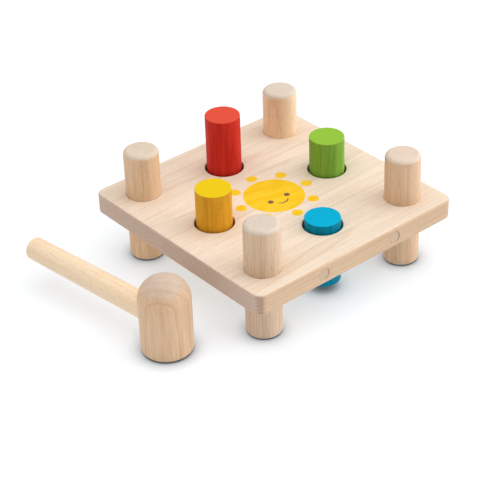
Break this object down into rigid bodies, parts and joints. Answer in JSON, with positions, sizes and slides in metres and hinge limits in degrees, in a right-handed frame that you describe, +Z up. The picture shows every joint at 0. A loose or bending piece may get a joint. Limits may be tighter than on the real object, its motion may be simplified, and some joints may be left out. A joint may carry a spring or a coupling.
{
  "type": "toy workbench",
  "caption": "Square wooden pounding bench on four through posts, with stained pegs that slide in loose holes and a domed hammer beside it.",
  "frame": {"origin": "centre of the board's top face", "axes": "+Z up out of the board's top face, +X along the grain of the board from the hammer's side to the far side, +Y from the board's front edge to its back edge"},
  "size_m": [0.2524, 0.1927, 0.098],
  "materials": {
    "board_wood": "sanded rubberwood with a thin matt clear coat",
    "dowel_wood": "sanded end grain",
    "post_wood": "turned dowel, sanded, thin matt clear coat",
    "yellow_stain": "yellow water stain, satin",
    "blue_stain": "blue water stain, satin",
    "red_stain": "red water stain, satin",
    "green_stain": "green water stain, satin",
    "hammer_wood": "turned hardwood, sanded smooth",
    "grip_rubber": "matt moulded rubber"
  },
  "bodies": {
    "bench": {"stave_front": "board_wood", "stave_middle": "board_wood", "stave_back": "board_wood", "cross_dowel_left": "dowel_wood", "cross_dowel_right": "dowel_wood", "post_front_left": "post_wood", "post_front_right": "post_wood", "post_back_left": "post_wood", "post_back_right": "post_wood", "grip_ring_yellow": "grip_rubber", "grip_ring_blue": "grip_rubber", "grip_ring_red": "grip_rubber", "grip_ring_green": "grip_rubber"},
    "yellow_peg": {"peg_yellow": "yellow_stain"},
    "blue_peg": {"peg_blue": "blue_stain"},
    "red_peg": {"peg_red": "red_stain"},
    "green_peg": {"peg_green": "green_stain"},
    "hammer": {"hammer_head": "hammer_wood", "hammer_handle": "hammer_wood"}
  },
  "joints": [
    {"name": "yellow_peg_slide", "type": "slide", "parent": "bench", "child": "yellow_peg", "axis": [0, 0, 1], "range_m": [-0.029, 0.016]},
    {"name": "blue_peg_slide", "type": "slide", "parent": "bench", "child": "blue_peg", "axis": [0, 0, 1], "range_m": [-0.0064, 0.0386]},
    {"name": "red_peg_slide", "type": "slide", "parent": "bench", "child": "red_peg", "axis": [0, 0, 1], "range_m": [-0.045, 0]},
    {"name": "green_peg_slide", "type": "slide", "parent": "bench", "child": "green_peg", "axis": [0, 0, 1], "range_m": [-0.028, 0.017]},
    {"name": "hammer_lift", "type": "slide", "parent": "bench", "child": "hammer", "axis": [0, 0, 1], "range_m": [0, 0.12]}
  ]
}
